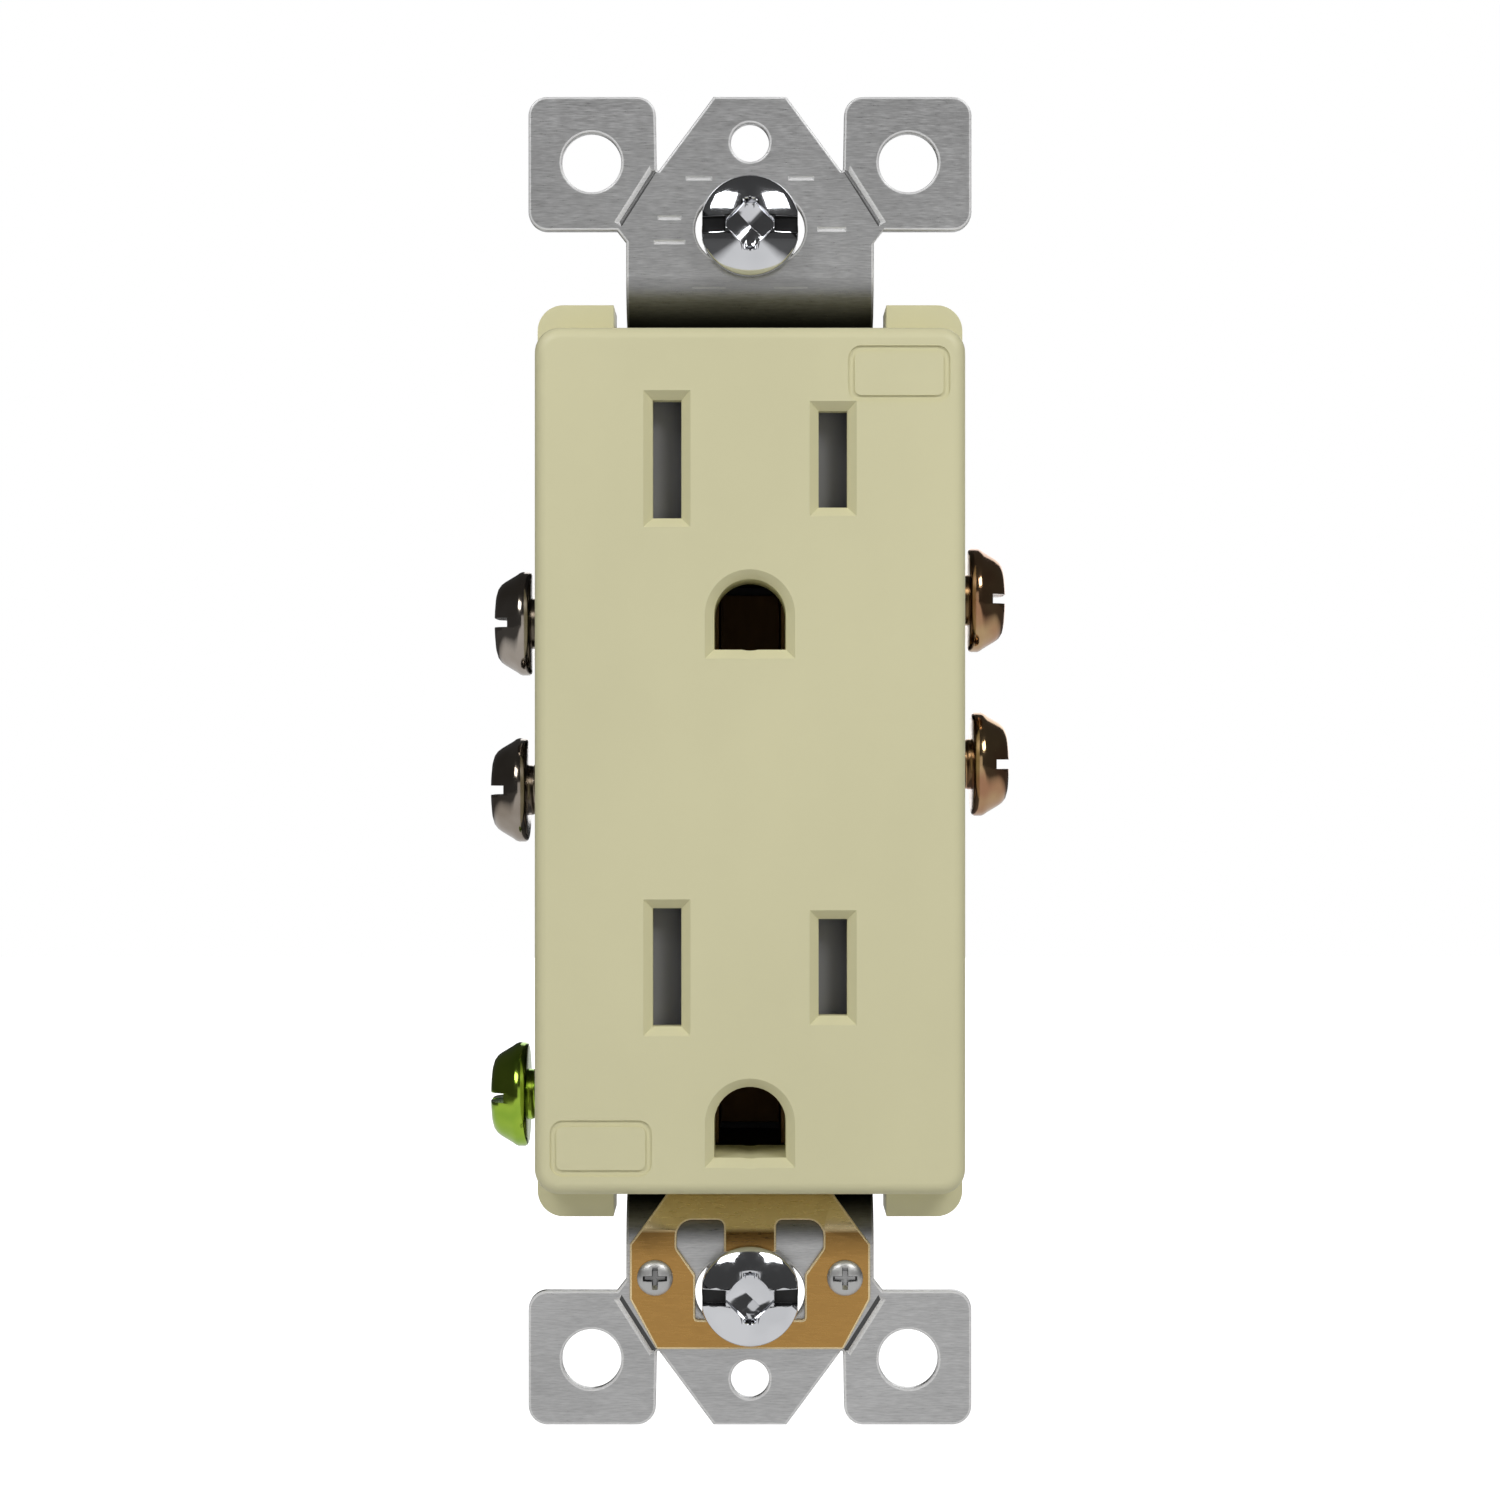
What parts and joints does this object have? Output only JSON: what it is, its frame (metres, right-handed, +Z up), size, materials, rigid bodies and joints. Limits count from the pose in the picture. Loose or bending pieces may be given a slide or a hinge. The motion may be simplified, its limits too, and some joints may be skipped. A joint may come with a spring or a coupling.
{
  "type": "duplex wall outlet",
  "caption": "Tamper-resistant duplex wall outlet in decorator style, with a wrap-around steel strap, a rectangular ivory face, side terminal screws and a grounding clip.",
  "frame": {"origin": "on the wall plane (the back of the strap's ears), halfway between the two box screws", "axes": "+Z up, +X to the right as seen from the room, -Y out of the wall towards the room"},
  "size_m": [0.042, 0.0312, 0.104],
  "materials": {
    "ivory_plastic": "satin moulded",
    "dark_plastic": "moulded",
    "tray_plastic": "moulded",
    "shutter_plastic": "moulded",
    "spring_steel": "bright",
    "zinc_steel": "galvanised, brushed across",
    "brass": "stamped",
    "nickel_brass": "nickel plated",
    "rivet_steel": "headed",
    "zinc_rivet": "headed",
    "chrome": "bright plated",
    "zinc_screw": "zinc plated",
    "fibre": "fibre",
    "clamp_steel": "plated",
    "brass_screw": "plated, bright",
    "nickel_screw": "nickel plated, bright",
    "green_screw": "green dyed zinc"
  },
  "bodies": {
    "housing": {"assembly_screw_lower_left": "zinc_screw", "assembly_screw_lower_right": "zinc_screw", "assembly_screw_upper_left": "zinc_screw", "assembly_screw_upper_right": "zinc_screw", "back_body": "dark_plastic", "back_rivet_lower": "zinc_rivet", "back_rivet_upper": "zinc_rivet", "clip_rivet_left": "rivet_steel", "clip_rivet_right": "rivet_steel", "face_cover": "ivory_plastic", "ground_bus": "brass", "ground_clip": "brass", "line_bus": "brass", "lower_shutter_spring": "spring_steel", "neutral_bus": "nickel_brass", "shutter_tray": "tray_plastic", "strap": "zinc_steel", "upper_shutter_spring": "spring_steel"},
    "upper_shutter": {"upper_shutter": "shutter_plastic"},
    "lower_shutter": {"lower_shutter": "shutter_plastic"},
    "clamp_line_upper": {"clamp_plate_line_upper": "clamp_steel"},
    "screw_line_upper": {"terminal_screw_line_upper": "brass_screw"},
    "clamp_line_lower": {"clamp_plate_line_lower": "clamp_steel"},
    "screw_line_lower": {"terminal_screw_line_lower": "brass_screw"},
    "clamp_neutral_upper": {"clamp_plate_neutral_upper": "clamp_steel"},
    "screw_neutral_upper": {"terminal_screw_neutral_upper": "nickel_screw"},
    "clamp_neutral_lower": {"clamp_plate_neutral_lower": "clamp_steel"},
    "screw_neutral_lower": {"terminal_screw_neutral_lower": "nickel_screw"},
    "clamp_ground": {"clamp_plate_ground": "clamp_steel"},
    "screw_ground": {"terminal_screw_ground": "green_screw"},
    "retainer_upper": {"screw_retainer_upper": "fibre"},
    "box_screw_upper": {"box_screw_upper": "chrome"},
    "retainer_lower": {"screw_retainer_lower": "fibre"},
    "box_screw_lower": {"box_screw_lower": "chrome"}
  },
  "joints": [
    {"name": "upper_shutter_slide", "type": "slide", "parent": "housing", "child": "upper_shutter", "axis": [-1, 0, 0], "range_m": [0, 0.0032], "stiffness_N_per_m": 60, "springref_m": -0.002, "deforming": ["upper_shutter_spring"]},
    {"name": "lower_shutter_slide", "type": "slide", "parent": "housing", "child": "lower_shutter", "axis": [-1, 0, 0], "range_m": [0, 0.0032], "stiffness_N_per_m": 60, "springref_m": -0.002, "deforming": ["lower_shutter_spring"]},
    {"name": "line_upper_clamp_slide", "type": "slide", "parent": "housing", "child": "clamp_line_upper", "axis": [-1, 0, 0], "range_m": [0, 0.00175]},
    {"name": "line_upper_screw_turn", "type": "hinge", "parent": "clamp_line_upper", "child": "screw_line_upper", "pos_m": [0.01765, 0.009, 0.013], "axis": [-1, 0, 0], "range_deg": [0, 794]},
    {"name": "line_lower_clamp_slide", "type": "slide", "parent": "housing", "child": "clamp_line_lower", "axis": [-1, 0, 0], "range_m": [0, 0.00175]},
    {"name": "line_lower_screw_turn", "type": "hinge", "parent": "clamp_line_lower", "child": "screw_line_lower", "pos_m": [0.01795, 0.009, -0.0003], "axis": [-1, 0, 0], "range_deg": [0, 794]},
    {"name": "neutral_upper_clamp_slide", "type": "slide", "parent": "housing", "child": "clamp_neutral_upper", "axis": [1, 0, 0], "range_m": [0, 0.00175]},
    {"name": "neutral_upper_screw_turn", "type": "hinge", "parent": "clamp_neutral_upper", "child": "screw_neutral_upper", "pos_m": [-0.01765, 0.009, 0.0111], "axis": [1, 0, 0], "range_deg": [0, 794]},
    {"name": "neutral_lower_clamp_slide", "type": "slide", "parent": "housing", "child": "clamp_neutral_lower", "axis": [1, 0, 0], "range_m": [0, 0.00175]},
    {"name": "neutral_lower_screw_turn", "type": "hinge", "parent": "clamp_neutral_lower", "child": "screw_neutral_lower", "pos_m": [-0.01795, 0.009, -0.0024], "axis": [1, 0, 0], "range_deg": [0, 794]},
    {"name": "ground_clamp_slide", "type": "slide", "parent": "housing", "child": "clamp_ground", "axis": [1, 0, 0], "range_m": [0, 0.00175]},
    {"name": "ground_screw_turn", "type": "hinge", "parent": "clamp_ground", "child": "screw_ground", "pos_m": [-0.01795, 0.009, -0.0271], "axis": [1, 0, 0], "range_deg": [0, 794]},
    {"name": "upper_box_screw_slide", "type": "slide", "parent": "housing", "child": "retainer_upper", "axis": [1, 0, 0], "range_m": [-0.0017, 0.0017]},
    {"name": "upper_box_screw_turn", "type": "hinge", "parent": "retainer_upper", "child": "box_screw_upper", "pos_m": [0, 0, 0.04167], "axis": [0, 1, 0], "continuous": true},
    {"name": "lower_box_screw_slide", "type": "slide", "parent": "housing", "child": "retainer_lower", "axis": [1, 0, 0], "range_m": [-0.0017, 0.0017]},
    {"name": "lower_box_screw_turn", "type": "hinge", "parent": "retainer_lower", "child": "box_screw_lower", "pos_m": [0, 0, -0.04167], "axis": [0, 1, 0], "continuous": true}
  ],
  "couplings": [
    {"joint": "line_upper_screw_turn", "follows": "line_upper_clamp_slide", "rad_per_m": 7913.3},
    {"joint": "line_lower_screw_turn", "follows": "line_lower_clamp_slide", "rad_per_m": 7913.3},
    {"joint": "neutral_upper_screw_turn", "follows": "neutral_upper_clamp_slide", "rad_per_m": 7913.3},
    {"joint": "neutral_lower_screw_turn", "follows": "neutral_lower_clamp_slide", "rad_per_m": 7913.3},
    {"joint": "ground_screw_turn", "follows": "ground_clamp_slide", "rad_per_m": 7913.3}
  ]
}
